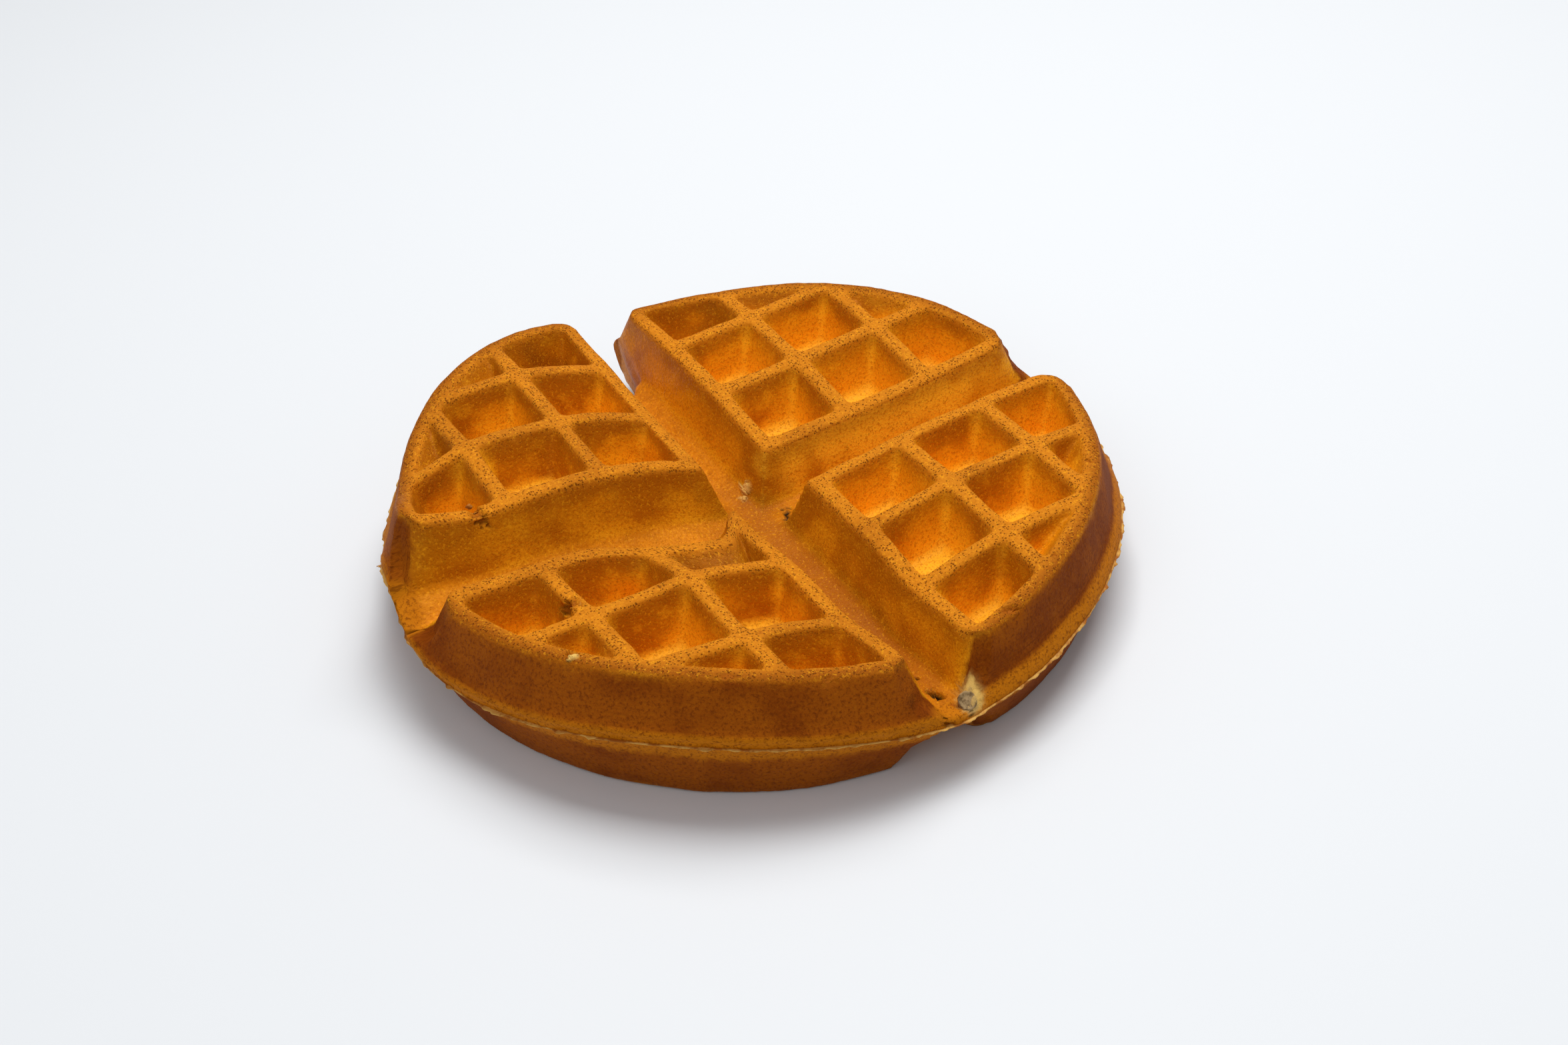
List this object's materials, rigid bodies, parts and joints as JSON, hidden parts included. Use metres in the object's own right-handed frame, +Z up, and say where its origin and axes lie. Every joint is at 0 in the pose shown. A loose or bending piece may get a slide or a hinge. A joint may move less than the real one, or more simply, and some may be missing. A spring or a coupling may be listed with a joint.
{
  "type": "waffle",
  "caption": "Round thick waffle of joined quarters with deep square pockets on both faces, a cross-shaped channel between the quarters and a thin flange round the edge.",
  "frame": {"origin": "on the surface that the waffle lies on, under its centre", "axes": "+Z up out of the face with the deep cross, X and Y along the two channels of the cross, -X towards the end where the sheet between the quarters is broken away"},
  "size_m": [0.1784, 0.1816, 0.0359],
  "materials": {
    "crust": "golden-brown baked crust, matte on the ribs and slightly glossy in the pockets"
  },
  "bodies": {
    "root": {"waffle": "crust"}
  },
  "joints": []
}
